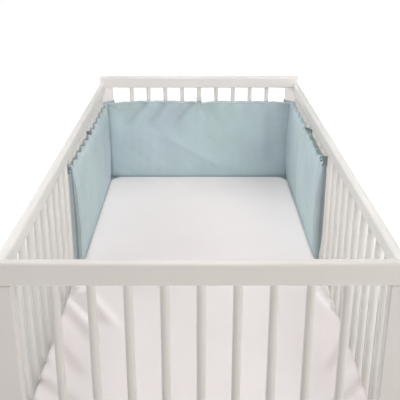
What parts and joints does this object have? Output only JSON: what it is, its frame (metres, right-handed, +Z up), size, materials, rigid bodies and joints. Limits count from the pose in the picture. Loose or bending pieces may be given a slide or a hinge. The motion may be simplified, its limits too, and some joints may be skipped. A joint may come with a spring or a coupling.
{
  "type": "crib bumper on a cot bed with its mattress",
  "caption": "Padded crib bumper tied round the head half of a slatted white cot bed, tucked beside the mattress in its fitted sheet.",
  "frame": {"origin": "on the floor, under the middle of the cot", "axes": "+X across the cot to the right as seen from its foot, +Y along the cot to the head, where the bumper is, +Z up"},
  "size_m": [0.7496, 1.4553, 0.86],
  "materials": {
    "bumper_cloth": "dusty blue-green cotton, plain weave, matt",
    "tie_cloth": "flat ribbon of the bumper's cotton",
    "sheet_cotton": "white cotton jersey, matt",
    "white_paint": "warm white satin paint on wood",
    "base_wood": "bare softwood"
  },
  "bodies": {
    "root": {"bumper": "bumper_cloth", "tie_left_end": "tie_cloth", "tie_left_middle": "tie_cloth", "tie_left_corner": "tie_cloth", "tie_head_middle": "tie_cloth", "tie_right_corner": "tie_cloth", "tie_right_middle": "tie_cloth", "tie_right_end": "tie_cloth", "mattress": "sheet_cotton", "base": "base_wood", "end_rail_foot": "white_paint", "end_rail_head": "white_paint", "low_rail_foot": "white_paint", "low_rail_head": "white_paint", "post_foot_left": "white_paint", "post_foot_right": "white_paint", "post_head_left": "white_paint", "post_head_right": "white_paint", "side_left": "white_paint", "side_right": "white_paint", "slat_foot_1": "white_paint", "slat_foot_2": "white_paint", "slat_foot_3": "white_paint", "slat_foot_4": "white_paint", "slat_foot_5": "white_paint", "slat_foot_6": "white_paint", "slat_foot_7": "white_paint", "slat_foot_8": "white_paint", "slat_foot_9": "white_paint", "slat_head_1": "white_paint", "slat_head_2": "white_paint", "slat_head_3": "white_paint", "slat_head_4": "white_paint", "slat_head_5": "white_paint", "slat_head_6": "white_paint", "slat_head_7": "white_paint", "slat_head_8": "white_paint", "slat_head_9": "white_paint"}
  },
  "joints": []
}
